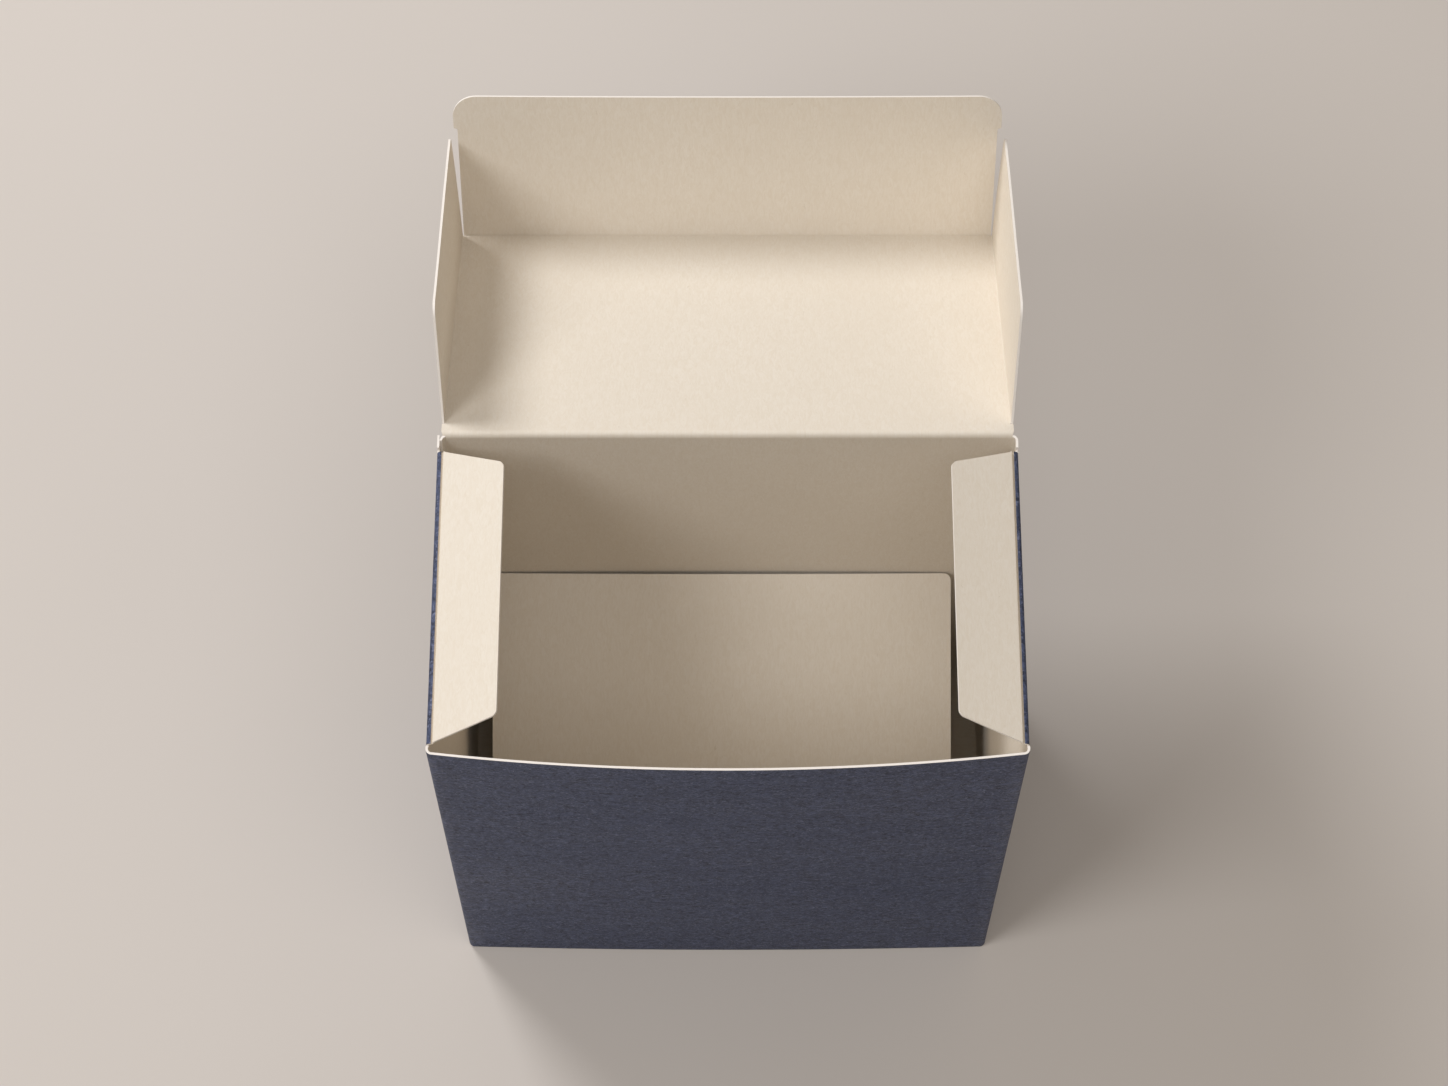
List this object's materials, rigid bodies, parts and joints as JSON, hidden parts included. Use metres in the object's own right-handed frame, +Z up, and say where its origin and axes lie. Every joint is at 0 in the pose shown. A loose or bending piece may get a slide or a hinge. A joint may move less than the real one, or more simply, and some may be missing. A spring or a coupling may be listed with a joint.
{
  "type": "folding carton",
  "caption": "Tuck-lid folding carton of thin solid board, navy outside and cream inside, standing open with lid ears and side dust flaps.",
  "frame": {"origin": "centre of the carton's base, on the surface it stands on", "axes": "+Z up; +Y towards the wall that the lid is hinged on; +X to the right as seen from the front"},
  "size_m": [0.1504, 0.1912, 0.185],
  "materials": {
    "board_navy": "matt navy coating on the outside of solid board, cream inside, pale cut edges",
    "board_cream": "bare cream solid board, matt, fine fibre grain"
  },
  "bodies": {
    "carton": {"body": "board_navy"},
    "inner_flap": {"inner_flap": "board_cream"},
    "lid": {"lid_panel": "board_navy"},
    "tuck": {"tuck_flap": "board_navy"},
    "left_ear": {"ear_left": "board_navy"},
    "right_ear": {"ear_right": "board_navy"},
    "left_dust_flap": {"dust_flap_left": "board_cream"},
    "right_dust_flap": {"dust_flap_right": "board_cream"}
  },
  "joints": [
    {"name": "lid_hinge", "type": "hinge", "parent": "carton", "child": "lid", "pos_m": [0, 0.0444, 0.1603], "axis": [1, 0, 0], "range_deg": [-63, 130]},
    {"name": "tuck_hinge", "type": "hinge", "parent": "lid", "child": "tuck", "pos_m": [0, 0.12325, 0.12353], "axis": [1, 0, 0], "range_deg": [-90, 15]},
    {"name": "left_ear_hinge", "type": "hinge", "parent": "lid", "child": "left_ear", "pos_m": [-0.0737, 0.0444, 0.1603], "axis": [0, 0.9063, -0.4226], "range_deg": [-88, 2]},
    {"name": "right_ear_hinge", "type": "hinge", "parent": "lid", "child": "right_ear", "pos_m": [0.0737, 0.0444, 0.1603], "axis": [0, -0.9063, 0.4226], "range_deg": [-88, 2]},
    {"name": "left_dust_hinge", "type": "hinge", "parent": "carton", "child": "left_dust_flap", "pos_m": [-0.0732, 0, 0.1596], "axis": [0, -1, 0], "range_deg": [-97, 143]},
    {"name": "right_dust_hinge", "type": "hinge", "parent": "carton", "child": "right_dust_flap", "pos_m": [0.0732, 0, 0.1596], "axis": [0, 1, 0], "range_deg": [-97, 143]},
    {"name": "inner_flap_hinge", "type": "hinge", "parent": "carton", "child": "inner_flap", "pos_m": [0, -0.043, 0.0016], "axis": [1, 0, 0], "range_deg": [0, 46]}
  ]
}
